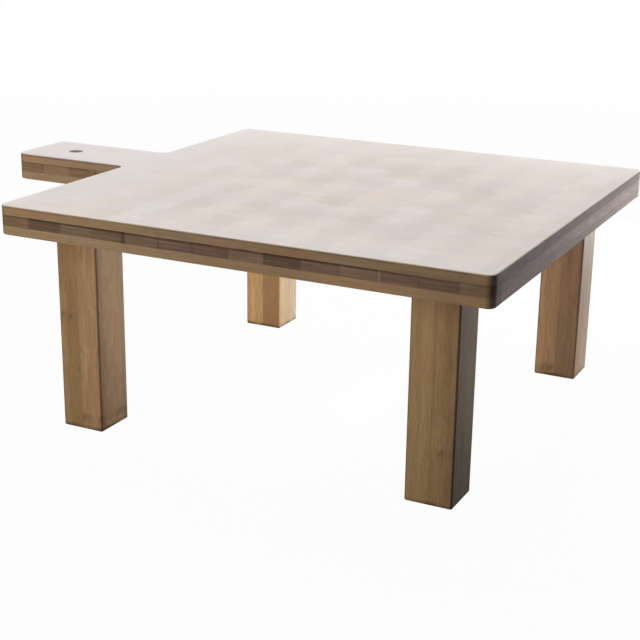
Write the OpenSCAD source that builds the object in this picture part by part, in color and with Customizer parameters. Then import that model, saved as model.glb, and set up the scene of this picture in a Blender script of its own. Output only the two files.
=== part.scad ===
// Raised bamboo serving board on four square legs, like a low table with a paddle handle.
// The panel is cross-laminated: lengthwise strips above and below, crosswise strips between.
// Each leg is glued up from two upright halves and dowelled into the underside of the panel.
// +Z is up and the handle points to -X. The origin lies on the floor, under the middle
// of the footprint with the handle included.

/* [Board] */
// Length of the board along its front edge, without the handle
board_l = 325; // [260:1:400]
// Width of the board from front to back
board_w = 312; // [250:1:380]
// Radius of the board's four corners in plan
board_corner_r = 5; // [2.5:0.5:12]
// Thickness of the top ply, and of the bottom ply
face_ply_t = 6; // [4:0.5:9]
// Thickness of the crosswise middle ply
core_ply_t = 7; // [6:0.5:10]
// Radius of the eased edge around the rim of the panel and of the hanging hole
rim_arris_r = 1; // [0.5:0.25:2]

/* [Handle] */
// Length of the handle beyond the board's left edge
handle_l = 94; // [70:1:130]
// Width of the handle
handle_w = 54; // [40:1:80]
// How far the handle's centre line lies behind the board's centre line
handle_offset = 8; // [0:1:20]
// Radius of the handle's two corners in plan
handle_corner_r = 6; // [2.5:0.5:15]
// Radius of the inside curves where the handle meets the board
shoulder_r = 6; // [4:0.5:25]
// Diameter of the hanging hole
hole_d = 10; // [6:0.5:16]
// Wood left between the hanging hole and the first crosswise joint of the middle ply
hole_clear_of_joint = 4.75; // [1:0.25:6]

/* [Strips] */
// Number of lengthwise strips side by side in each face ply
face_strip_count = 14; // [10:1:14]
// Width left of the front strip, where the board was sawn to size
front_strip_w = 7.8; // [7:0.2:22]
// Number of crosswise strips in the handle's part of the middle ply
handle_strip_count = 4; // [3:1:5]
// Number of crosswise strips in the board's part of the middle ply
board_strip_count = 14; // [11:1:14]
// How far the joint between these two parts lies before the board's left edge
root_joint_setback = 1; // [0.5:0.5:3]
// What sawing the board to size took off the last crosswise strip, at the right edge
end_strip_trim = 4; // [0:0.5:6]

/* [Legs] */
// Side of a leg's square section
leg_w = 30; // [24:1:45]
// Height of a leg, from the floor to the underside of the panel
leg_h = 130; // [80:1:220]
// Distance from the board's left edge to the left pair of legs
leg_inset_left = 27.5; // [10:0.5:60]
// Distance from the board's right edge to the right pair of legs
leg_inset_right = 25; // [10:0.5:60]
// Distance from the board's front edge to the front pair of legs
leg_inset_front = 20; // [10:0.5:60]
// Distance from the board's back edge to the back pair of legs
leg_inset_back = 18.5; // [10:0.5:60]
// Radius of a leg's four upright edges
leg_edge_r = 1.5; // [1.25:0.25:4]
// Radius of the eased edge around a leg's foot
foot_arris_r = 1; // [0.5:0.25:1.25]

/* [Dowels] */
// Diameter of a dowel
dowel_d = 8; // [6:0.5:9]
// Length of a dowel
dowel_l = 30; // [24:1:40]
// How far a dowel reaches into the middle ply
dowel_in_core = 5.5; // [3:0.5:5.5]
// How far a leg's two dowels stand left and right of its middle, as a share of its width
dowel_share_x = 0.28; // [0.25:0.01:0.28]
// How far they stand before and behind its middle, as a share of its width
dowel_share_y = 0.17; // [0.12:0.01:0.25]
// Room for glue around a dowel, on the radius
dowel_side_gap = 0.05; // [0.02:0.01:0.1]
// Room for glue at each end of a dowel
dowel_end_gap = 0.5; // [0.2:0.1:0.9]
// Chamfer at each end of a dowel
dowel_chamfer = 1; // [0.5:0.25:2]
// Number of glue grooves along a dowel
groove_count = 8; // [4:1:12]
// Radius of a glue groove
groove_r = 0.5; // [0.3:0.1:0.8]

/* [Hidden] */
$fn = 96;
// How far a cutter reaches past the face that it cuts
margin = 0.5;

panel_t = 2 * face_ply_t + core_ply_t;
core_z = leg_h + face_ply_t;
top_ply_z = core_z + core_ply_t;
panel_top_z = leg_h + panel_t;

tip_x = -(board_l + handle_l) / 2;
left_x = tip_x + handle_l;
right_x = left_x + board_l;
front_y = -board_w / 2;
back_y = board_w / 2;
handle_front_y = handle_offset - handle_w / 2;
handle_back_y = handle_offset + handle_w / 2;

// A plan outline is a list of corners, counter-clockwise, each [x, y, radius, turn].
// The turn is 1 at an outside corner and -1 at an inside one.
outside = 1;
inside = -1;
panel_path = [
    [left_x, front_y, board_corner_r, outside],
    [right_x, front_y, board_corner_r, outside],
    [right_x, back_y, board_corner_r, outside],
    [left_x, back_y, board_corner_r, outside],
    [left_x, handle_back_y, shoulder_r, inside],
    [tip_x, handle_back_y, handle_corner_r, outside],
    [tip_x, handle_front_y, handle_corner_r, outside],
    [left_x, handle_front_y, shoulder_r, inside]
];
leg_path = [
    [-leg_w / 2, -leg_w / 2, leg_edge_r, outside],
    [leg_w / 2, -leg_w / 2, leg_edge_r, outside],
    [leg_w / 2, leg_w / 2, leg_edge_r, outside],
    [-leg_w / 2, leg_w / 2, leg_edge_r, outside]
];

// Where each leg stands: its name and the middle of its section. Its halves meet there.
left_leg_x = left_x + leg_inset_left + leg_w / 2;
right_leg_x = right_x - leg_inset_right - leg_w / 2;
front_leg_y = front_y + leg_inset_front + leg_w / 2;
back_leg_y = back_y - leg_inset_back - leg_w / 2;
legs = [
    ["front_left_leg", [left_leg_x, front_leg_y]],
    ["front_right_leg", [right_leg_x, front_leg_y]],
    ["back_right_leg", [right_leg_x, back_leg_y]],
    ["back_left_leg", [left_leg_x, back_leg_y]]
];

// Where a stack of strips is cut apart. The outermost cuts lie clear of the piece's own faces.
function even_cuts(low, high, count) = [for (i = [0 : count]) low + (high - low) * i / count];
function clear_ends(cuts) = [for (cut = cuts)
    cut == min(cuts) ? cut - margin : cut == max(cuts) ? cut + margin : cut];
root_joint_x = left_x - root_joint_setback;
handle_cuts = even_cuts(tip_x, root_joint_x, handle_strip_count);
board_cuts = even_cuts(root_joint_x, right_x + end_strip_trim, board_strip_count);
core_strip_count = handle_strip_count + board_strip_count;
core_cuts = clear_ends([for (i = [0 : core_strip_count])
    i < handle_strip_count ? handle_cuts[i]
    : min(board_cuts[i - handle_strip_count], right_x)]);
face_cuts = clear_ends(concat(
    [front_y], even_cuts(front_y + front_strip_w, back_y, face_strip_count - 1)));
half_cuts = clear_ends([-leg_w / 2, 0, leg_w / 2]);
half_names = ["left_half", "right_half"];

// The hanging hole keeps clear of the crosswise joints, so it pierces one strip of the middle ply
hole_place = [handle_cuts[1] + hole_clear_of_joint + hole_d / 2, handle_offset];

// Mean colour of each kind of strip, and how far single strips stray from it
top_tone = [0.87, 0.83, 0.80];
core_tone = [0.42, 0.34, 0.28];
bottom_tone = [0.58, 0.46, 0.35];
leg_tone = [0.60, 0.46, 0.32];
dowel_tone = [0.80, 0.68, 0.48];
tone_spread = 0.1;
golden_angle = 137.5;

function numbered(name, i) = str(name, i + 1 < 10 ? "_0" : "_", i + 1);
function half_name(leg, i) = str(leg[0], "_", half_names[i]);

// Golden-angle steps keep neighbouring strips apart in tone
function strip_tone(tone, i) =
    [for (channel = tone) channel * (1 + tone_spread * sin(golden_angle * i))];

// Walking an outline: the way into and out of a corner, and the arc that rounds it
function way(from, to) = atan2(to[1] - from[1], to[0] - from[0]);
function way_in(path, i) = way(path[(i + len(path) - 1) % len(path)], path[i]);
function way_out(path, i) = way(path[i], path[(i + 1) % len(path)]);
function along(angle) = [cos(angle), sin(angle)];
function arc_centre(path, i) =
    [path[i][0], path[i][1]] + path[i][2] * (along(way_out(path, i)) - along(way_in(path, i)));
function arc_start(path, i) = way_in(path, i) - (path[i][3] == outside ? 90 : 0);

// What lies between a corner's point and its arc: taken off outside, filled in inside
module corner_patch(path, i) {
    r = path[i][2];
    translate(arc_centre(path, i))
        rotate(arc_start(path, i))
            difference() {
                square(r + margin);
                circle(r);
            }
}

module rounded_plan(path) {
    difference() {
        union() {
            polygon([for (corner = path) [corner[0], corner[1]]]);
            for (i = [0 : len(path) - 1])
                if (path[i][3] == inside) corner_patch(path, i);
        }
        for (i = [0 : len(path) - 1])
            if (path[i][3] == outside) corner_patch(path, i);
    }
}

// Section of the sliver that easing takes off an edge: +X runs into the piece
// from its side wall, and Y is 0 at the face
module arris_section(r) {
    difference() {
        translate([-margin, -r]) square(r + margin);
        translate([r, -r]) circle(r);
    }
}

// The whole sliver around an outline, for a face at z = 0 with the piece below it.
// It runs straight along each side and turns around each corner's own arc.
module rim_cutter(path, r) {
    for (i = [0 : len(path) - 1]) {
        start = path[i];
        end = path[(i + 1) % len(path)];
        side = norm([end[0] - start[0], end[1] - start[1]]) - start[2] - end[2];
        translate([start[0], start[1], 0])
            rotate([0, 0, way_out(path, i)])
                translate([start[2], 0, 0])
                    rotate([90, 0, 90]) linear_extrude(side) arris_section(r);
        translate(arc_centre(path, i))
            rotate([0, 0, arc_start(path, i)])
                rotate_extrude(angle = 90)
                    translate([start[2], 0])
                        mirror([start[3] == outside ? 1 : 0, 0]) arris_section(r);
    }
}

module hanging_hole() {
    translate([hole_place[0], hole_place[1], leg_h - margin])
        cylinder(d = hole_d, h = panel_t + 2 * margin);
}

// The sliver around the hanging hole's mouth, for a face at z = 0
module hole_rim_cutter() {
    translate(hole_place)
        rotate_extrude()
            translate([hole_d / 2, 0]) arris_section(rim_arris_r);
}

// Where the dowels stand in a leg's own frame: one in each half, across a diagonal
module at_dowels() {
    for (side = [-1, 1])
        translate([side * dowel_share_x * leg_w, side * dowel_share_y * leg_w,
                   core_z + dowel_in_core - dowel_l])
            children();
}

module dowel_holes() {
    at_dowels()
        translate([0, 0, -dowel_end_gap])
            cylinder(r = dowel_d / 2 + dowel_side_gap, h = dowel_l + 2 * dowel_end_gap);
}

module all_dowel_holes() {
    for (leg = legs) translate(leg[1]) dowel_holes();
}

// A strip of the panel's plan, from one cut to the next, lying lengthwise or crosswise
module lengthwise_plan(i) {
    intersection() {
        rounded_plan(panel_path);
        translate([tip_x - margin, face_cuts[i]])
            square([board_l + handle_l + 2 * margin, face_cuts[i + 1] - face_cuts[i]]);
    }
}

module crosswise_plan(i) {
    intersection() {
        rounded_plan(panel_path);
        translate([core_cuts[i], front_y - margin])
            square([core_cuts[i + 1] - core_cuts[i], board_w + 2 * margin]);
    }
}

module top_strip(i) {
    color(strip_tone(top_tone, i))
        difference() {
            translate([0, 0, top_ply_z]) linear_extrude(face_ply_t) lengthwise_plan(i);
            translate([0, 0, panel_top_z]) rim_cutter(panel_path, rim_arris_r);
            translate([0, 0, panel_top_z]) hole_rim_cutter();
            hanging_hole();
        }
}

module core_strip(i) {
    color(strip_tone(core_tone, i))
        difference() {
            translate([0, 0, core_z]) linear_extrude(core_ply_t) crosswise_plan(i);
            hanging_hole();
            all_dowel_holes();
        }
}

module bottom_strip(i) {
    color(strip_tone(bottom_tone, i))
        difference() {
            translate([0, 0, leg_h]) linear_extrude(face_ply_t) lengthwise_plan(i);
            translate([0, 0, leg_h]) mirror([0, 0, 1]) rim_cutter(panel_path, rim_arris_r);
            translate([0, 0, leg_h]) mirror([0, 0, 1]) hole_rim_cutter();
            hanging_hole();
            all_dowel_holes();
        }
}

module leg_half(leg, i) {
    color(strip_tone(leg_tone, i))
        translate(leg[1])
            difference() {
                linear_extrude(leg_h)
                    intersection() {
                        rounded_plan(leg_path);
                        translate([half_cuts[i], -leg_w])
                            square([half_cuts[i + 1] - half_cuts[i], 2 * leg_w]);
                    }
                mirror([0, 0, 1]) rim_cutter(leg_path, foot_arris_r);
                dowel_holes();
            }
}

module dowel() {
    r = dowel_d / 2;
    difference() {
        rotate_extrude()
            polygon([
                [0, 0],
                [r - dowel_chamfer, 0],
                [r, dowel_chamfer],
                [r, dowel_l - dowel_chamfer],
                [r - dowel_chamfer, dowel_l],
                [0, dowel_l]
            ]);
        for (i = [0 : groove_count - 1])
            rotate([0, 0, 360 * i / groove_count])
                translate([r, 0, -margin]) cylinder(r = groove_r, h = dowel_l + 2 * margin);
    }
}

module leg_dowels() {
    color(dowel_tone)
        for (leg = legs) translate(leg[1]) at_dowels() dowel();
}

for (i = [0 : face_strip_count - 1]) {
    top_strip(i);
    bottom_strip(i);
}
for (i = [0 : core_strip_count - 1])
    core_strip(i);
for (leg = legs, i = [0 : len(half_names) - 1])
    leg_half(leg, i);
leg_dowels();
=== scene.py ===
import math

import bpy
from mathutils import Matrix

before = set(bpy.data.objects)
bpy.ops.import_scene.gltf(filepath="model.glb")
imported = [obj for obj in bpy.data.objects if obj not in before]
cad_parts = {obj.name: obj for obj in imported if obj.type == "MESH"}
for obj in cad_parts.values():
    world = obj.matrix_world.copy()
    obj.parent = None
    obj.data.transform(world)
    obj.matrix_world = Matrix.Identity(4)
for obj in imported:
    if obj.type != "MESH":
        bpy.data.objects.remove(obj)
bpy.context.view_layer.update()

print("frame:", len(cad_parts), "nodes of bamboo")

nodeGrid = {"columns": 9, "across": 200, "down": -230}  # where new nodes land in the editor


def paint(red, green, blue):
    # a colour as it shows on screen, 0 to 255, turned into the linear values of a socket
    def linear(value):
        value = value / 255
        return value / 12.92 if value <= 0.04045 else ((value + 0.055) / 1.055) ** 2.4
    return (linear(red), linear(green), linear(blue), 1.0)


def emptyTree(owner):
    owner.use_nodes = True
    owner.node_tree.nodes.clear()
    return owner.node_tree


def addNode(tree, kind, **options):
    node = tree.nodes.new(kind)
    row, column = divmod(len(tree.nodes), nodeGrid["columns"])
    node.location = (nodeGrid["across"] * column, nodeGrid["down"] * row)
    for option, value in options.items():
        setattr(node, option, value)
    return node


def feed(tree, socket, value):
    # a socket is wired up, a plain number or colour is written in
    if isinstance(value, bpy.types.NodeSocket):
        tree.links.new(value, socket)
    else:
        socket.default_value = value


def feedAll(tree, sockets, values):
    for socket, value in zip(sockets, values):
        feed(tree, socket, value)


def sums(tree, operation, first, second=0.0, third=0.0, clamp=False):
    node = addNode(tree, "ShaderNodeMath", operation=operation, use_clamp=clamp)
    feedAll(tree, node.inputs, (first, second, third))
    return node.outputs[0]


def ramp(tree, value, low, high, start=0.0, end=1.0):
    # a smooth step from start to end while the value goes from low to high
    node = addNode(tree, "ShaderNodeMapRange", interpolation_type="SMOOTHSTEP")
    feedAll(tree, node.inputs, (value, low, high, start, end))
    return node.outputs[0]


def vectorSums(tree, operation, *vectors, result="Vector"):
    node = addNode(tree, "ShaderNodeVectorMath", operation=operation)
    feedAll(tree, node.inputs, vectors)
    return node.outputs[result]


def splitVector(tree, vector):
    node = addNode(tree, "ShaderNodeSeparateXYZ")
    feed(tree, node.inputs[0], vector)
    return node.outputs


def joinVector(tree, x, y, z):
    node = addNode(tree, "ShaderNodeCombineXYZ")
    feedAll(tree, node.inputs, (x, y, z))
    return node.outputs[0]


def blendColour(tree, amount, under, over, how="MIX"):
    node = addNode(tree, "ShaderNodeMix", data_type="RGBA", blend_type=how)
    for slot, value in ((0, amount), (6, under), (7, over)):  # a mix node's factor and its two colours
        feed(tree, node.inputs[slot], value)
    return node.outputs[2]


def scaleColour(tree, colour, red, green, blue):
    # each channel of a colour times a share of its own
    shares = addNode(tree, "ShaderNodeCombineColor")
    feedAll(tree, shares.inputs, (red, green, blue))
    return blendColour(tree, 1.0, colour, shares.outputs[0], "MULTIPLY")


def pattern(tree, vector, shape, result="Fac"):
    # noise stretched by its scales and, where it says so, cut into a smooth step
    node = addNode(tree, "ShaderNodeTexNoise")
    feed(tree, node.inputs["Vector"], vectorSums(tree, "MULTIPLY", vector, shape["scales"]))
    for label, value in (("Scale", 1.0), ("Detail", shape["detail"]), ("Roughness", shape["roughness"])):
        node.inputs[label].default_value = value
    return ramp(tree, node.outputs[result], *shape["cut"]) if "cut" in shape else node.outputs[result]


def randomOf(tree, value):
    node = addNode(tree, "ShaderNodeTexWhiteNoise", noise_dimensions="1D")
    feed(tree, node.inputs["W"], value)
    return node.outputs["Value"]


def newGroup(name, given, made):
    # a number makes a float socket with that value, a word names a socket's kind
    tree = bpy.data.node_groups.new(name, "ShaderNodeTree")
    for way, sockets in (("INPUT", given), ("OUTPUT", made)):
        for label, value in sockets.items():
            kind = value if isinstance(value, str) else "Float"
            socket = tree.interface.new_socket(name=label, in_out=way, socket_type="NodeSocket" + kind)
            if kind != value:
                socket.default_value = value
    return tree, addNode(tree, "NodeGroupInput").outputs, addNode(tree, "NodeGroupOutput").inputs


def place(tree, group, **values):
    # spaces in a socket's name are left out here: GrainPoint for Grain Point
    node = addNode(tree, "ShaderNodeGroup", node_tree=group)
    for socket in node.inputs:
        label = socket.name.replace(" ", "")
        if label in values:
            feed(tree, socket, values[label])
    return {socket.name.replace(" ", ""): socket for socket in node.outputs}


# Which strip a point lies in, and how near it is to the glued joint beside it. All in mm.
stripDraws = {"second": 37.3, "joint": 71.7}  # these keep a strip's random draws apart
jointLook = {"darkPart": 0.2, "leastOpen": 0.15}


def makeStripLayout():
    tree, inlet, outlet = newGroup(
        "stripLayout",
        {"Across": 0.0, "First Joint": 0.0, "Pitch": 23.4, "Joint Width": 0.5, "Seed": 0.0},
        {"Chance": "Float", "Second Chance": "Float", "Joint": "Float"})
    across = sums(tree, "SUBTRACT", inlet["Across"], inlet["First Joint"])
    steps = sums(tree, "DIVIDE", across, inlet["Pitch"])
    index = sums(tree, "ADD", sums(tree, "FLOOR", steps), inlet["Seed"])
    feed(tree, outlet["Chance"], randomOf(tree, index))
    feed(tree, outlet["Second Chance"], randomOf(tree, sums(tree, "ADD", index, stripDraws["second"])))
    part = sums(tree, "FRACT", steps)
    nearest = sums(tree, "MINIMUM", part, sums(tree, "SUBTRACT", 1.0, part))
    away = sums(tree, "MULTIPLY", nearest, inlet["Pitch"])
    dark = sums(tree, "MULTIPLY", inlet["Joint Width"], jointLook["darkPart"])
    joint = ramp(tree, away, dark, inlet["Joint Width"], 1.0, 0.0)
    # some joints are glued so tight that they hardly show
    draw = sums(tree, "ADD", inlet["Seed"], stripDraws["joint"])
    chance = randomOf(tree, sums(tree, "ADD", sums(tree, "ROUND", steps), draw))
    openness = sums(tree, "MULTIPLY_ADD", chance, 1.0 - jointLook["leastOpen"], jointLook["leastOpen"])
    feed(tree, outlet["Joint"], sums(tree, "MULTIPLY", joint, openness))
    return tree


# The inside of bamboo, the same all the way through: X runs along the grain, in mm.
grainPatterns = {
    "wander": {"scales": (0.022, 0.05, 0.05), "detail": 1.0, "roughness": 0.5},
    "streaks": {"scales": (0.006, 0.21, 0.21), "detail": 3.0, "roughness": 0.6, "cut": (0.34, 0.66)},
    "fibres": {"scales": (0.016, 1.15, 1.15), "detail": 2.0, "roughness": 0.6, "cut": (0.36, 0.64)},
    "clouds": {"scales": (0.024, 0.07, 0.07), "detail": 2.0, "roughness": 0.55, "cut": (0.38, 0.66)},
    "knotRag": {"scales": (0.05, 0.28, 0.28), "detail": 2.0, "roughness": 0.6},
    "knotGaps": {"scales": (0.08, 0.13, 0.13), "detail": 2.0, "roughness": 0.6,
                 "cut": (0.42, 0.6, 0.15, 1.0)},
    "scratches": {"scales": (0.1, 0.035, 1.25), "detail": 3.0, "roughness": 0.62, "cut": (0.46, 0.7)},
}
grainShape = {
    "shove": (910.0, 47.0, 83.0),  # how far apart in the culm two strips may be cut
    "bundleScales": (0.007, 0.95, 0.95), "bundleCut": (0.16, 0.42, 1.0, 0.0),
    "knotStray": 9.0, "knotCut": (0.5, 4.5, 1.0, 0.0),
    "fibreHeight": 0.45, "knotHeight": 0.5, "bundleHeight": -0.35,
}


def makeBambooGrain():
    tree, inlet, outlet = newGroup(
        "bambooGrain",
        {"Grain Point": "Vector", "Chance": 0.0, "Knot Every": 260.0, "Knot At": 0.0, "Wander": 7.0},
        {"Streaks": "Float", "Fibres": "Float", "Bundles": "Float", "Clouds": "Float", "Knot": "Float",
         "Scratches": "Float", "Height": "Float"})
    shove = joinVector(tree, *(sums(tree, "MULTIPLY", inlet["Chance"], far) for far in grainShape["shove"]))
    culm = vectorSums(tree, "ADD", inlet["Grain Point"], shove)
    # the fibres wander a little on their way up the culm
    sway = joinVector(tree, 0.0, inlet["Wander"], inlet["Wander"])
    wander = pattern(tree, culm, grainPatterns["wander"], "Color")
    bent = vectorSums(tree, "MULTIPLY_ADD", wander, sway, culm)
    streaks = pattern(tree, bent, grainPatterns["streaks"])
    fibres = pattern(tree, bent, grainPatterns["fibres"])
    clouds = pattern(tree, culm, grainPatterns["clouds"])
    # bundles of vessels: dots on a sawn end, fine dark lines on a planed side
    cells = addNode(tree, "ShaderNodeTexVoronoi")
    feed(tree, cells.inputs["Vector"], vectorSums(tree, "MULTIPLY", bent, grainShape["bundleScales"]))
    cells.inputs["Scale"].default_value = 1.0
    bundles = ramp(tree, cells.outputs["Distance"], *grainShape["bundleCut"])
    # the knot where two lengths of culm meet, ragged and broken
    rag = pattern(tree, culm, grainPatterns["knotRag"])
    ahead = sums(tree, "SUBTRACT", splitVector(tree, inlet["Grain Point"])[0], inlet["Knot At"])
    ahead = sums(tree, "MULTIPLY_ADD", rag, grainShape["knotStray"], ahead)
    ahead = sums(tree, "SUBTRACT", ahead, grainShape["knotStray"] / 2)
    turns = sums(tree, "PINGPONG", sums(tree, "DIVIDE", ahead, inlet["Knot Every"]), 0.5)
    knot = ramp(tree, sums(tree, "MULTIPLY", turns, inlet["Knot Every"]), *grainShape["knotCut"])
    knot = sums(tree, "MULTIPLY", knot, pattern(tree, culm, grainPatterns["knotGaps"]))
    # what saw and sander left on the ends: long flat scratches across the grain
    scratches = pattern(tree, inlet["Grain Point"], grainPatterns["scratches"])
    height = sums(tree, "MULTIPLY", knot, grainShape["knotHeight"])
    height = sums(tree, "MULTIPLY_ADD", fibres, grainShape["fibreHeight"], height)
    height = sums(tree, "MULTIPLY_ADD", bundles, grainShape["bundleHeight"], height)
    feedAll(tree, outlet, (streaks, fibres, bundles, clouds, knot, scratches, height))
    return tree


# Where a surface turns: its eased edges, and which way it looks
turnCuts = {
    "Corner": (0.0, 0.6), "Sideways": (0.4, 0.8), "Outward": (0.4, 0.8), "Upright": (0.45, 0.8, 1.0, 0.0),
    "Upward": (0.4, 0.75), "Sawn End": (0.55, 0.85),
}
edgeShape = {
    "worn": {"scales": (0.11, 0.11, 0.2), "detail": 3.0, "roughness": 0.6},
    "uneven": 0.06, "flatFrom": 0.93, "softness": 0.09,
}


def makeSurfaceTurn():
    tree, inlet, outlet = newGroup(
        "surfaceTurn",
        {"Facing": "Vector", "Point": "Vector", "Grain Way": "Vector"},
        {"Eased": "Float", "Corner": "Float", "Sawn End": "Float", "Upward": "Float", "Sideways": "Float",
         "Outward": "Float", "Upright": "Float"})
    bare = vectorSums(tree, "ABSOLUTE", inlet["Facing"])
    bareX, bareY, bareZ = splitVector(tree, bare)
    flattest = sums(tree, "MAXIMUM", sums(tree, "MAXIMUM", bareX, bareY), bareZ)
    worn = pattern(tree, inlet["Point"], edgeShape["worn"])
    limit = sums(tree, "MULTIPLY_ADD", worn, edgeShape["uneven"], edgeShape["flatFrom"])
    start = sums(tree, "SUBTRACT", limit, edgeShape["softness"])
    feed(tree, outlet["Eased"], ramp(tree, flattest, start, limit, 1.0, 0.0))
    shares = {
        "Corner": sums(tree, "MINIMUM", bareX, bareY), "Sideways": bareX, "Outward": bareY, "Upright": bareZ,
        "Upward": splitVector(tree, inlet["Facing"])[2],
        "Sawn End": vectorSums(tree, "DOT_PRODUCT", bare, inlet["Grain Way"], result="Value"),
    }
    for label, share in shares.items():
        feed(tree, outlet[label], ramp(tree, share, *turnCuts[label]))
    return tree


# The colours of bamboo put together from its grain, its strips and its edges
toneShape = {
    "fibreShade": 0.16, "bundleShade": -0.2, "endCover": 0.92, "scratchMiddle": 0.4,
    "cornerWarmth": (0.06, 0.0, -0.01),
}
roughening = {"Streaks": 0.08, "Sawn End": 0.2, "Corner": 0.2, "Eased": -0.08}


def makeBambooTone():
    tree, inlet, outlet = newGroup(
        "bambooTone",
        {"Streaks": 0.0, "Fibres": 0.0, "Bundles": 0.0, "Clouds": 0.0, "Knot": 0.0, "Chance": 0.5,
         "Second Chance": 0.5, "Joint": 0.0, "Scratches": 0.0, "Scored": 0.0, "Sawn End": 0.0, "Eased": 0.0,
         "Corner": 0.0, "Straw": "Color", "Streak Colour": "Color", "Blush": "Color", "Olive": "Color",
         "Knot Colour": "Color", "End Colour": "Color", "Glue Colour": "Color", "Edge Colour": "Color",
         "Streak Depth": 0.6, "Blush Depth": 0.5, "Strip Spread": 0.12, "Joint Depth": 0.4,
         "Edge Depth": 0.3, "Knot Depth": 0.5, "Scratch Depth": 0.2, "Corner Depth": 0.4,
         "Base Roughness": 0.45},
        {"Colour": "Color", "Roughness": "Float"})

    def times(first, second):
        first, second = (inlet[name] if isinstance(name, str) else name for name in (first, second))
        return sums(tree, "MULTIPLY", first, second)

    colour = blendColour(tree, times("Streaks", "Streak Depth"), inlet["Straw"], inlet["Streak Colour"])
    colour = blendColour(tree, times("Clouds", "Blush Depth"), colour, inlet["Blush"])
    colour = blendColour(tree, times("Second Chance", "Blush Depth"), colour, inlet["Olive"])
    # strips differ in lightness, and fine fibres ride on top
    uneven = sums(tree, "SUBTRACT", inlet["Chance"], 0.5)
    lift = sums(tree, "MULTIPLY_ADD", uneven, inlet["Strip Spread"], 1.0)
    lift = sums(tree, "MULTIPLY_ADD", sums(tree, "SUBTRACT", 0.5, inlet["Fibres"]),
                times("Streak Depth", toneShape["fibreShade"]), lift)
    lift = sums(tree, "MULTIPLY_ADD", inlet["Bundles"], times("Streak Depth", toneShape["bundleShade"]), lift)
    colour = scaleColour(tree, colour, lift, lift, lift)
    colour = blendColour(tree, times("Knot", "Knot Depth"), colour, inlet["Knot Colour"])
    colour = blendColour(tree, times("Sawn End", toneShape["endCover"]), colour, inlet["End Colour"])
    # saw marks lighten and darken the ends, and upright corners get a little warm painted shade
    scored = times(sums(tree, "SUBTRACT", inlet["Scratches"], toneShape["scratchMiddle"]),
                   times("Scored", "Scratch Depth"))
    scored = sums(tree, "MULTIPLY_ADD", inlet["Corner"], times("Corner Depth", -1.0),
                  sums(tree, "ADD", scored, 1.0))
    scoredAndShaded = [sums(tree, "MULTIPLY_ADD", inlet["Corner"], warmth, scored)
             for warmth in toneShape["cornerWarmth"]]
    colour = scaleColour(tree, colour, *scoredAndShaded)
    colour = blendColour(tree, times("Joint", "Joint Depth"), colour, inlet["Glue Colour"])
    # rims take the edge colour, rubbed wear that on the pale top is also a painted highlight; upright corners
    # keep their painted shade
    rubbed = times("Eased", sums(tree, "SUBTRACT", 1.0, inlet["Corner"]))
    colour = blendColour(tree, times(rubbed, "Edge Depth"), colour, inlet["Edge Colour"])
    rough = inlet["Base Roughness"]
    for label, share in roughening.items():
        rough = sums(tree, "MULTIPLY_ADD", inlet[label], share, rough, clamp=label == "Eased")
    feedAll(tree, outlet, (colour, rough))
    return tree


# The crosswise strips show faintly through the thin planed top, as a soft plaid. All in mm.
plaidShape = {
    "softening": {"scales": (0.11, 0.11, 0.0), "detail": 3.0, "roughness": 0.6},
    "blur": 26.0, "rowBlur": -0.5, "bandEnds": (0.34, 0.56, 1.0, 0.0), "bandBegins": (0.9, 1.0),
    "halves": 2.0, "rowDraw": 17.0, "warmDraw": 5.5,  # cells of the plaid, each with random draws of its own
    "luckShare": 0.5,
    "leftFade": (-110.0, -10.0), "backFade": (60.0, 150.0, 1.0, 0.25),
    "stains": {"scales": (0.014, 0.021, 0.0), "detail": 3.0, "roughness": 0.55,
               "cut": (0.36, 0.64, -0.6, 0.6)},
    "endStray": 60.0, "endBleach": (-110.0, 10.0, 1.0, 0.0),
    "edgeStray": 30.0, "edgeMiddle": 15.0, "edgeBleach": (60.0, 150.0, 0.0, 0.5), "edgeLift": 1.5,
}


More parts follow.
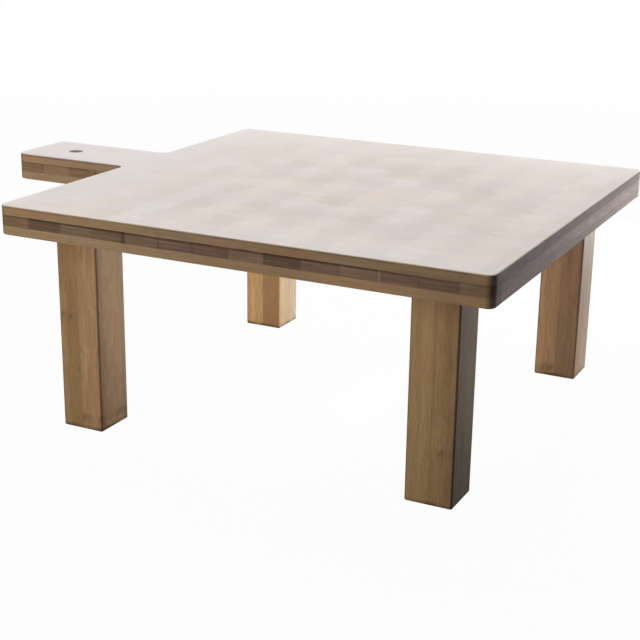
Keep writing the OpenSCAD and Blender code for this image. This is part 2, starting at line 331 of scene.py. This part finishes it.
def makeShownThrough():
    tree, inlet, outlet = newGroup(
        "shownThrough",
        {"Point": "Vector", "Band": 36.4, "Strip": 23.4, "First Joint": 0.0},
        {"Lightness": "Float", "Warmth": "Float", "Bleach": "Float"})
    x, y = splitVector(tree, inlet["Point"])[:2]
    soften = pattern(tree, inlet["Point"], plaidShape["softening"])
    blur = sums(tree, "MULTIPLY", sums(tree, "SUBTRACT", soften, 0.5), plaidShape["blur"])
    column = sums(tree, "DIVIDE", sums(tree, "ADD", x, blur), inlet["Band"])
    row = sums(tree, "ADD", sums(tree, "SUBTRACT", y, inlet["First Joint"]),
               sums(tree, "MULTIPLY", blur, plaidShape["rowBlur"]))
    row = sums(tree, "DIVIDE", row, inlet["Strip"])
    part = sums(tree, "FRACT", column)
    band = sums(tree, "ADD", ramp(tree, part, *plaidShape["bandEnds"]),
                ramp(tree, part, *plaidShape["bandBegins"]))
    band = sums(tree, "SUBTRACT", band, 0.5)
    cell = sums(tree, "MULTIPLY_ADD", sums(tree, "FLOOR", row), plaidShape["rowDraw"],
                sums(tree, "FLOOR", sums(tree, "MULTIPLY", column, plaidShape["halves"])))
    luck = sums(tree, "SUBTRACT", randomOf(tree, cell), 0.5)
    feed(tree, outlet["Warmth"], randomOf(tree, sums(tree, "ADD", cell, plaidShape["warmDraw"])))
    # strongest in the middle of the board, gone near its left edge and faint at its back edge
    inner = sums(tree, "MULTIPLY", ramp(tree, x, *plaidShape["leftFade"]),
                 ramp(tree, y, *plaidShape["backFade"]))
    both = sums(tree, "ADD", sums(tree, "MULTIPLY_ADD", luck, plaidShape["luckShare"], band),
                pattern(tree, inlet["Point"], plaidShape["stains"]))
    # the end by the handle has faded to a cooler white, and a little of it runs along both long edges
    ended = sums(tree, "MULTIPLY_ADD", soften, plaidShape["endStray"], x)
    ended = ramp(tree, ended, *plaidShape["endBleach"])
    shoved = sums(tree, "MULTIPLY_ADD", soften, plaidShape["edgeStray"],
                  sums(tree, "SUBTRACT", y, plaidShape["edgeMiddle"]))
    edged = ramp(tree, sums(tree, "ABSOLUTE", shoved), *plaidShape["edgeBleach"])
    feed(tree, outlet["Bleach"], sums(tree, "MAXIMUM", ended, edged))
    lifted = sums(tree, "MULTIPLY", edged, plaidShape["edgeLift"])
    feed(tree, outlet["Lightness"], sums(tree, "MULTIPLY_ADD", both, inner, lifted))
    return tree


stripLayout = makeStripLayout()
bambooGrain = makeBambooGrain()
surfaceTurn = makeSurfaceTurn()
bambooTone = makeBambooTone()
shownThrough = makeShownThrough()
print("groups: strip layout, bamboo grain, surface turn, bamboo tone, shown through")

# What every bamboo material starts from; each piece's own dictionary changes some of it. Lengths are in
# mm, but for the relief, which is in m.
millimetres = (1000.0, 1000.0, 1000.0)
unchanged = (1.0, 1.0, 1.0)
plainBamboo = {
    "grain": "x",                        # the way the fibres run
    "firstJoint": -148.2, "pitch": 23.4, "jointWidth": 0.5, "seed": 0.0,
    "knotEvery": 260.0, "knotAt": None,  # None scatters the knots from strip to strip
    "wander": 7.0,                       # how far the fibres stray
    "straw": (178, 144, 110), "streak": (150, 116, 84), "blush": (168, 124, 86), "olive": (148, 126, 88),
    "knot": (104, 76, 56), "end": (132, 112, 98), "glue": (92, 68, 50), "edge": (196, 160, 124),
    "streakDepth": 0.6, "blushDepth": 0.4, "stripSpread": 0.12, "jointDepth": 0.45, "edgeDepth": 0.3,
    # the corner depth is how dark the painted shade on upright corners is
    "knotDepth": 0.5, "scratchDepth": 0.45, "cornerDepth": 0.6,
    "tint": unchanged, "endTint": unchanged,  # share of each linear channel
    # painted light and shade along Y on faces that look left or right, and tones along X on those that look
    # to the front or back:
    # from, to, tone before, tone after
    "sideFades": [], "culmChanges": [],
    "seams": [], "seamWear": 0.35,       # dark lines on upright faces, at a leg's foot painted shade: height, width, depth
    "roughness": 0.42, "gloss": 0.5, "bump": 0.5, "relief": 0.00012, "jointDip": -0.5,
}
footStretch = (5.0, 85.0)  # the heights over which the painted light on a leg's sides changes
markMiddle = 0.4           # this share of a joint mark's width has its full strength
seamShape = {
    "blotch": {"scales": (0.06, 0.06, 0.1), "detail": 3.0, "roughness": 0.6},
    "cut": (0.36, 0.6),
}


def tinted(colour, tint):
    return tuple(value * share for value, share in zip(paint(*colour), tint)) + (1.0,)


def toneValues(look):
    # the named colours and amounts that the bamboo tone group takes
    colours = {"Straw": "straw", "StreakColour": "streak", "Blush": "blush", "Olive": "olive",
               "KnotColour": "knot", "EndColour": "end", "GlueColour": "glue", "EdgeColour": "edge"}
    amounts = {"StreakDepth": "streakDepth", "BlushDepth": "blushDepth", "StripSpread": "stripSpread",
               "JointDepth": "jointDepth", "EdgeDepth": "edgeDepth", "KnotDepth": "knotDepth",
               "ScratchDepth": "scratchDepth", "CornerDepth": "cornerDepth", "BaseRoughness": "roughness"}
    values = {socket: tinted(look[key], look["endTint" if key == "end" else "tint"])
              for socket, key in colours.items()}
    values.update({socket: look[key] for socket, key in amounts.items()})
    return values


def turnTone(tree, colour, mask, value, low, high, before, after):
    # where the mask is white, the tone turns from one to another as the value goes from low to high
    tones = blendColour(tree, ramp(tree, value, low, high), before + (1.0,), after + (1.0,))
    return blendColour(tree, mask, colour, tones, "MULTIPLY")


def paleLitTopFace(tree, look, shared, point, x, y):
    # the top face of the top ply is far paler than its edges: partly painted light and painted reflection
    # from above
    top = dict(look, **look["planed"])
    pale = place(tree, bambooTone, **shared, **toneValues(top))["Colour"]
    plaid = place(tree, shownThrough, Point=point, Strip=look["pitch"], FirstJoint=look["firstJoint"])
    for label, depth, colour in (("Warmth", "plaidWarmth", "plaidColour"),
                                 ("Bleach", "bleachDepth", "bleachColour")):
        amount = sums(tree, "MULTIPLY", plaid[label], top[depth])
        pale = blendColour(tree, amount, pale, paint(*top[colour]))
    lift = sums(tree, "MULTIPLY_ADD", plaid["Lightness"], top["plaidDepth"], 1.0)
    pale = scaleColour(tree, pale, lift, lift, lift)
    # a painted highlight: a creamy line just inside the front and right rims
    highlightLine = top["rimLine"]
    nearFront = ramp(tree, y, highlightLine["frontY"], highlightLine["frontY"] + highlightLine["width"], highlightLine["frontDepth"], 0.0)
    nearRight = ramp(tree, x, highlightLine["rightX"] - highlightLine["width"], highlightLine["rightX"], 0.0, highlightLine["rightDepth"])
    return blendColour(tree, sums(tree, "MAXIMUM", nearFront, nearRight), pale, paint(*highlightLine["colour"]))


def litBoreWall(tree, colour, bore, x, y):
    # painted light: the wall of the hanging hole is painted near white, standing in for light reaching into
    # it
    aside, back = sums(tree, "SUBTRACT", x, bore["x"]), sums(tree, "SUBTRACT", y, bore["y"])
    square = sums(tree, "ADD", sums(tree, "MULTIPLY", aside, aside), sums(tree, "MULTIPLY", back, back))
    near = ramp(tree, sums(tree, "SQRT", square), bore["wall"], bore["end"], bore["depth"], 0.0)
    return blendColour(tree, near, colour, paint(*bore["colour"]))


def line(tree, colour, value, level, middle, width, depth, over, strength=1.0):
    # a line of another colour where the value comes close to a level
    away = sums(tree, "ABSOLUTE", sums(tree, "SUBTRACT", value, level))
    near = sums(tree, "MULTIPLY", ramp(tree, away, middle, width, depth, 0.0), strength)
    return blendColour(tree, near, colour, paint(*over))


def bambooMaterial(name, changes):
    look = dict(plainBamboo, **changes)
    material = bpy.data.materials.new(name)
    tree = emptyTree(material)
    point = vectorSums(tree, "MULTIPLY", addNode(tree, "ShaderNodeTexCoord").outputs["Object"], millimetres)
    x, y, z = splitVector(tree, point)
    grainPoint = joinVector(tree, *{"x": (x, y, z), "y": (y, x, z), "z": (z, x, y)}[look["grain"]])
    grainWay = joinVector(tree, *(float(axis == look["grain"]) for axis in "xyz"))
    strips = place(tree, stripLayout, Across=y if look["grain"] == "x" else x, FirstJoint=look["firstJoint"],
                   Pitch=look["pitch"], JointWidth=look["jointWidth"], Seed=look["seed"])
    knotAt = look["knotAt"]
    if knotAt is None:
        knotAt = sums(tree, "MULTIPLY", strips["SecondChance"], look["knotEvery"])
    grain = place(tree, bambooGrain, GrainPoint=grainPoint, Chance=strips["Chance"], KnotAt=knotAt,
                  KnotEvery=look["knotEvery"], Wander=look["wander"])
    turn = place(tree, surfaceTurn, Facing=addNode(tree, "ShaderNodeNewGeometry").outputs["Normal"],
                 Point=point, GrainWay=grainWay)
    shared = dict(grain, **strips, Eased=turn["Eased"], Corner=turn["Corner"])
    scored = sums(tree, "MAXIMUM", turn["SawnEnd"], turn["Sideways"])
    tone = place(tree, bambooTone, SawnEnd=turn["SawnEnd"], Scored=scored, **shared, **toneValues(look))
    colour = tone["Colour"]
    if "planed" in look:
        colour = blendColour(tree, turn["Upward"], colour, paleLitTopFace(tree, look, shared, point, x, y))
    if "bore" in look:
        colour = litBoreWall(tree, colour, look["bore"], x, y)
    if "sideTint" in look:
        # painted light and shade: the sides of a leg half are lit differently from its front and back, and
        # grow lighter or darker towards the foot
        footTint = tuple(share * look["footShare"] for share in look["sideTint"])
        colour = turnTone(tree, colour, turn["Sideways"], z, *footStretch, footTint, look["sideTint"])
    # painted light and shade along the faces that look left or right
    for fade in look["sideFades"]:
        colour = turnTone(tree, colour, turn["Sideways"], y, *fade)
    for change in look["culmChanges"]:
        colour = turnTone(tree, colour, turn["Outward"], x, *change)
    if "jointMark" in look:
        # a line of its own colour along one upright joint, on one strip light and on another a dark blotch
        # beside the joint
        level, width, depth, over = look["jointMark"]
        colour = line(tree, colour, x, level, width * markMiddle, width, depth, over)
    # thin dark lines where two plies meet and where a rim begins, and painted shade where a foot stands
    blotch = pattern(tree, point, seamShape["blotch"])
    strength = ramp(tree, blotch, *seamShape["cut"], look["seamWear"], 1.0)
    strength = sums(tree, "MULTIPLY", turn["Upright"], strength)
    for level, width, depth in look["seams"]:
        wavering = sums(tree, "MULTIPLY_ADD", sums(tree, "SUBTRACT", blotch, 0.5), width, level)
        colour = line(tree, colour, z, wavering, 0.0, width, depth, look["seam"], strength)
    bump = addNode(tree, "ShaderNodeBump")
    bump.inputs["Strength"].default_value = look["bump"]
    bump.inputs["Distance"].default_value = look["relief"]
    height = sums(tree, "MULTIPLY_ADD", strips["Joint"], look["jointDip"], grain["Height"])
    feed(tree, bump.inputs["Height"], height)
    wood = addNode(tree, "ShaderNodeBsdfPrincipled")
    feed(tree, wood.inputs["Base Color"], colour)
    feed(tree, wood.inputs["Roughness"], tone["Roughness"])
    feed(tree, wood.inputs["Normal"], bump.outputs[0])
    wood.inputs["Specular IOR Level"].default_value = look["gloss"]
    feed(tree, addNode(tree, "ShaderNodeOutputMaterial").inputs["Surface"], wood.outputs[0])
    return material


def dress(nodeName, material):
    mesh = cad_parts[nodeName].data
    mesh.materials.clear()
    mesh.materials.append(material)


# The right edge is shaded for a short way behind the front corner
cornerShade = (-149.0, -139.0, (0.36, 0.34, 0.36), unchanged)

# Top ply: lengthwise strips, pale on the top face, partly as painted light and painted reflection, and tan
# along the edges
topPly = {
    "seed": 3.0,
    "straw": (172, 138, 106), "blush": (170, 122, 84), "olive": (144, 124, 86), "end": (126, 112, 104),
    "tint": (0.97, 0.96, 0.8), "endTint": (0.58, 0.37, 0.43), "cornerDepth": 0.6,
    "seams": [(147.7, 0.9, 0.6)], "seam": (70, 50, 38),
    # painted light along the left and right edges, darker towards the front and lighter towards the back, and
    # painted shade just behind the front corner
    "sideFades": [(-150.0, 130.0, (0.64, 0.63, 0.63), (1.3, 1.29, 1.3)), cornerShade],
    "culmChanges": [(-195.0, -165.0, (1.2, 1.18, 1.2), unchanged)],
    # painted light on the wall of the hanging hole
    "bore": {"x": -176.5, "y": 8.0, "wall": 5.4, "end": 6.75, "depth": 0.95, "colour": (250, 240, 238)},
    # the top face's pale tones: partly painted light and painted reflection from above; its rim colour is
    # partly a painted highlight
    "planed": {
        "straw": (226, 212, 200), "streak": (214, 198, 186), "blush": (228, 208, 186),
        "olive": (222, 208, 202), "knot": (198, 178, 162), "glue": (206, 188, 176),
        "edge": (236, 214, 190), "tint": (1.18, 1.2, 1.28),
        "streakDepth": 0.2, "blushDepth": 0.4, "stripSpread": 0.03, "jointDepth": 0.12, "edgeDepth": 0.7,
        "knotDepth": 0.12, "cornerDepth": 0.0,
        "plaidDepth": 0.075, "plaidWarmth": 0.5, "plaidColour": (230, 212, 190),
        "bleachDepth": 0.6, "bleachColour": (242, 234, 233),
        # a painted highlight just inside the front and right rims
        "rimLine": {"frontY": -155.0, "frontDepth": 0.85, "rightX": 208.5, "rightDepth": 0.4, "width": 3.0,
                    "colour": (255, 241, 224)},
    },
}
topWood = bambooMaterial("topPlyBamboo", topPly)

# Bottom ply: the same strips, left tan all over
bottomPly = {
    "seed": 11.0, "straw": (176, 142, 108), "end": (140, 122, 112),
    "tint": (1.15, 1.07, 0.99), "endTint": (1.3, 1.24, 1.42), "cornerDepth": 0.46,
    # painted light along the left and right edges, darker towards the front and lighter towards the back, and
    # painted shade just behind the front corner
    "sideFades": [(-80.0, 140.0, (0.88, 0.86, 0.86), (1.56, 1.56, 1.58)), cornerShade],
}
bottomWood = bambooMaterial("bottomPlyBamboo", bottomPly)

# The front strips show their whole edge, so each gets its own knot and turns of tone
frontTop = dict(topPly, seed=29.0, knotAt=2.0, knotEvery=600.0, streakDepth=0.9, blushDepth=0.8,
                culmChanges=[(-112.0, -90.0, (0.98, 1.1, 1.2), unchanged),
                             (-16.0, 16.0, (1.18, 1.19, 1.08), (1.0, 1.03, 1.0))])
frontBottom = dict(bottomPly, seed=43.0, knotAt=-60.0, knotEvery=420.0, streakDepth=0.8, blushDepth=0.7,
                   culmChanges=[(-5.0, 21.0, unchanged, (0.91, 0.89, 0.9)),
                                (84.0, 124.0, (1.13, 1.12, 1.09), (1.42, 1.42, 1.4)),
                                (160.0, 182.0, unchanged, (0.82, 0.82, 0.81))])
dress("top_strip_01", bambooMaterial("frontTopBamboo", frontTop))
dress("bottom_strip_01", bambooMaterial("frontBottomBamboo", frontBottom))
faceStrips = 14
for number in range(2, faceStrips + 1):
    dress("top_strip_%02d" % number, topWood)
    dress("bottom_strip_%02d" % number, bottomWood)
print("plies: top and bottom strips dressed")

# Middle ply: crosswise strips, whose sawn ends make the dark blocks along the front
corePly = {
    "grain": "y", "firstJoint": -116.5, "pitch": 23.571, "jointWidth": 1.3, "jointDepth": 0.32,
    "straw": (214, 191, 188), "streak": (184, 160, 157), "blush": (206, 176, 168), "olive": (196, 176, 172),
    "seams": [(142.7, 1.8, 0.88)], "seam": (52, 38, 30), "seamWear": 0.5, "glue": (66, 48, 38),
    "stripSpread": 0.05, "roughness": 0.58, "gloss": 0.15, "endTint": (1.2, 1.08, 0.9), "cornerDepth": 0.25,
    # painted light along the side edges, darker towards the front and lighter towards the back, and painted
    # shade just behind the front corner
    "sideFades": [(-150.0, 40.0, (0.54, 0.53, 0.53), (1.17, 1.17, 1.17)),
                  (-149.0, -139.0, (0.42, 0.4, 0.42), unchanged)],
}
coreTones = {
    "warm": {"end": (166, 138, 108), "seams": [(142.7, 1.0, 0.4)]},
    "tan": {"end": (150, 122, 94), "seams": [(142.7, 1.0, 0.4)]},
    "brownTan": {"end": (135, 110, 80), "seams": [(142.7, 1.0, 0.4)]},
    "ochre": {"end": (148, 123, 105)},
    "middling": {"end": (135, 114, 98)},
    "plainMiddling": {"end": (141, 120, 98), "seams": [(142.7, 1.8, 0.35)]},
    "olive": {"end": (133, 114, 95)},
    "plainOlive": {"end": (127, 103, 84), "seams": [(142.7, 1.8, 0.45)]},
    "blottedOlive": {"end": (121, 101, 79), "jointMark": (-19.5, 7.0, 0.6, (62, 54, 40))},
    "gluedOlive": {"end": (136, 110, 94), "seams": [(142.7, 1.8, 0.6)],
                   "jointMark": (143.4, 1.5, 0.85, (172, 146, 120))},
    "mauve": {"end": (129, 103, 90)},
    "dark": {"end": (111, 90, 70)},
}
coreOrder = ["tan", "warm", "tan", "tan",  # in the handle, from its tip
             "brownTan", "dark", "olive", "blottedOlive", "olive", "mauve", "mauve", "ochre",
             "dark", "middling", "ochre", "gluedOlive", "plainOlive", "plainMiddling"]
coreWoods = {}
for number, tone in enumerate(coreOrder, 1):
    if tone not in coreWoods:
        coreWoods[tone] = bambooMaterial(tone + "CoreBamboo", dict(corePly, **coreTones[tone]))
    dress("core_strip_%02d" % number, coreWoods[tone])
print("plies: middle strips dressed in", len(coreWoods), "tones")

# Legs: each half is a block of its own, glued up from thinner upright layers
legPly = {
    "grain": "z", "pitch": 7.5, "jointWidth": 0.35, "jointDepth": 0.2, "stripSpread": 0.08,
    "straw": (172, 142, 106), "streak": (146, 116, 82), "blush": (164, 126, 94), "olive": (152, 130, 86),
    "edge": (120, 92, 66), "roughness": 0.55, "gloss": 0.2,
    # the dark line along the foot is painted shade
    "seams": [(0.0, 3.4, 0.85)], "seam": (60, 42, 32),
    "scratchDepth": 0.15, "streakDepth": 0.85, "blushDepth": 0.6, "wander": 11.0, "knotEvery": 400.0,
}
legMiddles = {"front_left": -73.0, "front_right": 169.5, "back_right": 169.5, "back_left": -73.0}
# Painted light and shade on the legs: each half's tint is partly its own tone and partly painted light, and
# its side tint, foot share and side fades are painted light and shade
legHalves = {
    "front_left_leg_left_half": {
        "seed": 22.0, "knotAt": 76.0, "tint": (1.28, 1.15, 1.02),
        "culmChanges": [(-84.0, -78.0, (1.1, 1.12, 1.22), unchanged)]},
    "front_left_leg_right_half": {
        "seed": 27.0, "knotAt": 8.0, "tint": (1.54, 1.51, 1.38), "cornerDepth": 0.2,
        "sideTint": (0.94, 1.0, 1.22), "footShare": 0.8,
        "sideFades": [(-136.0, -122.0, (0.68, 0.66, 0.64), unchanged),
                      (-119.0, -110.0, unchanged, (0.86, 0.86, 0.88))]},
    "front_right_leg_left_half": {
        "seed": 33.0, "knotAt": 190.0, "tint": (1.7, 1.65, 1.62)},
    "front_right_leg_right_half": {
        "seed": 39.0, "knotAt": 34.0, "tint": (1.14, 1.06, 0.95), "gloss": 0.4, "straw": (174, 142, 104),
        "sideTint": (0.6, 0.7, 0.9), "footShare": 0.5,
        "sideFades": [(-136.0, -106.0, (0.7, 0.66, 0.62), (1.24, 1.24, 1.24))],
        "culmChanges": [(174.5, 180.0, (1.2, 1.2, 1.17), (0.96, 0.95, 0.95))]},
    "back_right_leg_left_half": {
        "seed": 45.0, "knotAt": 6.0, "tint": (1.33, 1.31, 1.36),
        "culmChanges": [(157.0, 163.0, (1.16, 1.2, 1.28), unchanged)]},
    "back_right_leg_right_half": {
        "seed": 51.0, "knotAt": 250.0, "tint": (0.9, 0.84, 0.81), "roughness": 0.42, "gloss": 0.5,
        "sideTint": (1.5, 1.56, 1.81), "footShare": 1.54,
        "sideFades": [(108.0, 138.0, (0.87, 0.83, 0.77), (1.02, 1.07, 1.16))]},
    "back_left_leg_left_half": {
        "seed": 57.0, "knotAt": 220.0, "tint": (1.72, 1.65, 1.54)},
    "back_left_leg_right_half": {
        "seed": 63.0, "knotAt": 180.0, "tint": (0.95, 0.82, 0.63), "roughness": 0.45, "gloss": 0.5,
        "cornerDepth": 0.1, "sideTint": (1.9, 2.36, 3.5), "footShare": 1.1,
        "sideFades": [(108.0, 138.0, (0.97, 0.97, 0.98), (0.93, 1.04, 1.28))]},
}
for half, changes in legHalves.items():
    look = dict(legPly, firstJoint=legMiddles[half.split("_leg")[0]], **changes)
    dress(half, bambooMaterial(half.replace("_", " ").title().replace(" ", "") + "Bamboo", look))
print("legs:", len(legHalves), "halves dressed")

# Dowels: raw turned bamboo, paler than the rest
dowelRod = {
    "grain": "z", "pitch": 400.0, "firstJoint": -200.0, "knotAt": 400.0, "roughness": 0.6,
    "straw": (214, 186, 138), "streak": (190, 158, 112), "blush": (206, 170, 122), "olive": (204, 180, 130),
    "end": (176, 148, 108),
}
dress("leg_dowels", bambooMaterial("rawDowelBamboo", dowelRod))
print("dowels: dressed")

# Floor and surround: white to the eye, plain daylight level for the wood
studio = {
    "floorSize": 4.0, "floorColour": (215, 215, 215), "floorVeil": 0.97, "glossVeil": 0.35,
    "fadeFrom": 0.4, "fadeTo": 0.95,  # shares of the way to the floor's edge
    "skyColour": (1.0, 1.0, 1.0, 1.0), "skyLevel": 0.06,
}


def blendShader(tree, amount, first, second):
    node = addNode(tree, "ShaderNodeMixShader")
    feedAll(tree, node.inputs, (amount, first, second))
    return node.outputs[0]


floorMesh = bpy.data.meshes.new("studioFloor")
reach = studio["floorSize"] / 2
floorMesh.from_pydata([(-reach, -reach, 0), (reach, -reach, 0), (reach, reach, 0), (-reach, reach, 0)], [],
                      [(0, 1, 2, 3)])
studioFloor = bpy.data.objects.new("studioFloor", floorMesh)
bpy.context.scene.collection.objects.link(studioFloor)

floorPaint = bpy.data.materials.new("floorPaint")
tree = emptyTree(floorPaint)
path = addNode(tree, "ShaderNodeLightPath")
seen = sums(tree, "MULTIPLY", path.outputs["Is Camera Ray"], studio["floorVeil"])
mirrored = sums(tree, "MAXIMUM", path.outputs["Is Glossy Ray"], path.outputs["Is Transmission Ray"])
seen = sums(tree, "MULTIPLY_ADD", mirrored, studio["glossVeil"], seen)
matte = addNode(tree, "ShaderNodeBsdfDiffuse")
matte.inputs["Color"].default_value = paint(*studio["floorColour"])
veil = blendShader(tree, seen, matte.outputs[0], addNode(tree, "ShaderNodeEmission").outputs[0])
# the floor fades out well away from the table, and is clear from below
spot = vectorSums(tree, "LENGTH", addNode(tree, "ShaderNodeTexCoord").outputs["Object"], result="Value")
faded = ramp(tree, spot, reach * studio["fadeFrom"], reach * studio["fadeTo"])
below = addNode(tree, "ShaderNodeNewGeometry").outputs["Backfacing"]
oneWay = blendShader(tree, sums(tree, "MAXIMUM", faded, below), veil,
                     addNode(tree, "ShaderNodeBsdfTransparent").outputs[0])
feed(tree, addNode(tree, "ShaderNodeOutputMaterial").inputs["Surface"], oneWay)
floorMesh.materials.append(floorPaint)

sky = bpy.data.worlds.new("studioSky")
bpy.context.scene.world = sky
tree = emptyTree(sky)
path = addNode(tree, "ShaderNodeLightPath")
mirrored = sums(tree, "MAXIMUM", path.outputs["Is Glossy Ray"], path.outputs["Is Transmission Ray"])
seen = sums(tree, "MAXIMUM", path.outputs["Is Camera Ray"], mirrored)
daylight = addNode(tree, "ShaderNodeBackground")
daylight.inputs["Strength"].default_value = studio["skyLevel"]
backdrop = addNode(tree, "ShaderNodeBackground")
for background in (daylight, backdrop):
    background.inputs["Color"].default_value = studio["skyColour"]
choose = blendShader(tree, seen, daylight.outputs[0], backdrop.outputs[0])
feed(tree, addNode(tree, "ShaderNodeOutputWorld").inputs["Surface"], choose)
print("studio: floor and surround")

# Soft lamps: the key hangs behind on the left, the others lift the faces that it leaves in shade
lamps = {
    "backLeftKey": {"at": (-0.45, 0.75, 1.3), "aim": (0.0, 0.0, 0.1), "size": (1.2, 1.2), "watts": 15.2},
    "frontLeft": {"at": (-0.9, -1.5, 0.9), "aim": (0.0, 0.0, 0.1), "size": (1.2, 1.0), "watts": 6.9},
    "frontNear": {"at": (-0.5, -0.75, 0.2), "aim": (-0.05, 0.0, 0.08), "size": (0.4, 0.25), "watts": 1.16},
    "backRight": {"at": (0.34, 0.46, 0.13), "aim": (0.16, 0.05, 0.08), "size": (0.3, 0.25), "watts": 0.75},
    "backLow": {"at": (0.1, 0.6, 0.1), "aim": (-0.05, 0.0, 0.07), "size": (0.3, 0.14), "watts": 2.0},
    "underRight": {"at": (0.1, 0.0, 0.07), "aim": (-0.07, 0.0, 0.06), "size": (0.2, 0.1), "watts": 0.1},
    "underFront": {"at": (0.05, -0.06, 0.1), "aim": (0.05, 0.12, 0.05), "size": (0.24, 0.06), "watts": 0.09},
}
quarterTurn = math.pi / 2
for name, lamp in lamps.items():
    light = bpy.data.lights.new(name, "AREA")
    light.shape = "RECTANGLE"
    light.size, light.size_y = lamp["size"]
    light.energy = lamp["watts"]
    holder = bpy.data.objects.new(name, light)
    aim = [end - start for start, end in zip(lamp["at"], lamp["aim"])]
    turn = math.atan2(aim[1], aim[0]) - quarterTurn
    tilt = math.atan2(aim[2], math.hypot(aim[0], aim[1])) + quarterTurn
    holder.matrix_world = (Matrix.Translation(lamp["at"])
                           @ Matrix.Rotation(turn, 4, "Z") @ Matrix.Rotation(tilt, 4, "X"))
    holder.visible_camera = False
    bpy.context.scene.collection.objects.link(holder)
print("studio:", len(lamps), "soft lamps")

# The camera stands where the straight edges of the board in the photo put it
viewpoint = {"at": (0.428965, -0.805567, 0.345215), "turn": 26.271, "down": 18.067, "roll": 0.843,
             "lens": 76.46, "sensor": 36.0}
cameraData = bpy.data.cameras.new("tableCamera")
cameraData.lens = viewpoint["lens"]
cameraData.sensor_width = viewpoint["sensor"]
tableCamera = bpy.data.objects.new("tableCamera", cameraData)
tableCamera.matrix_world = (Matrix.Translation(viewpoint["at"])
                            @ Matrix.Rotation(math.radians(viewpoint["turn"]), 4, "Z")
                            @ Matrix.Rotation(math.radians(90 - viewpoint["down"]), 4, "X")
                            @ Matrix.Rotation(math.radians(viewpoint["roll"]), 4, "Z"))
bpy.context.scene.collection.objects.link(tableCamera)
bpy.context.scene.camera = tableCamera
bpy.context.scene.view_settings.view_transform = "Standard"
print("camera: placed")
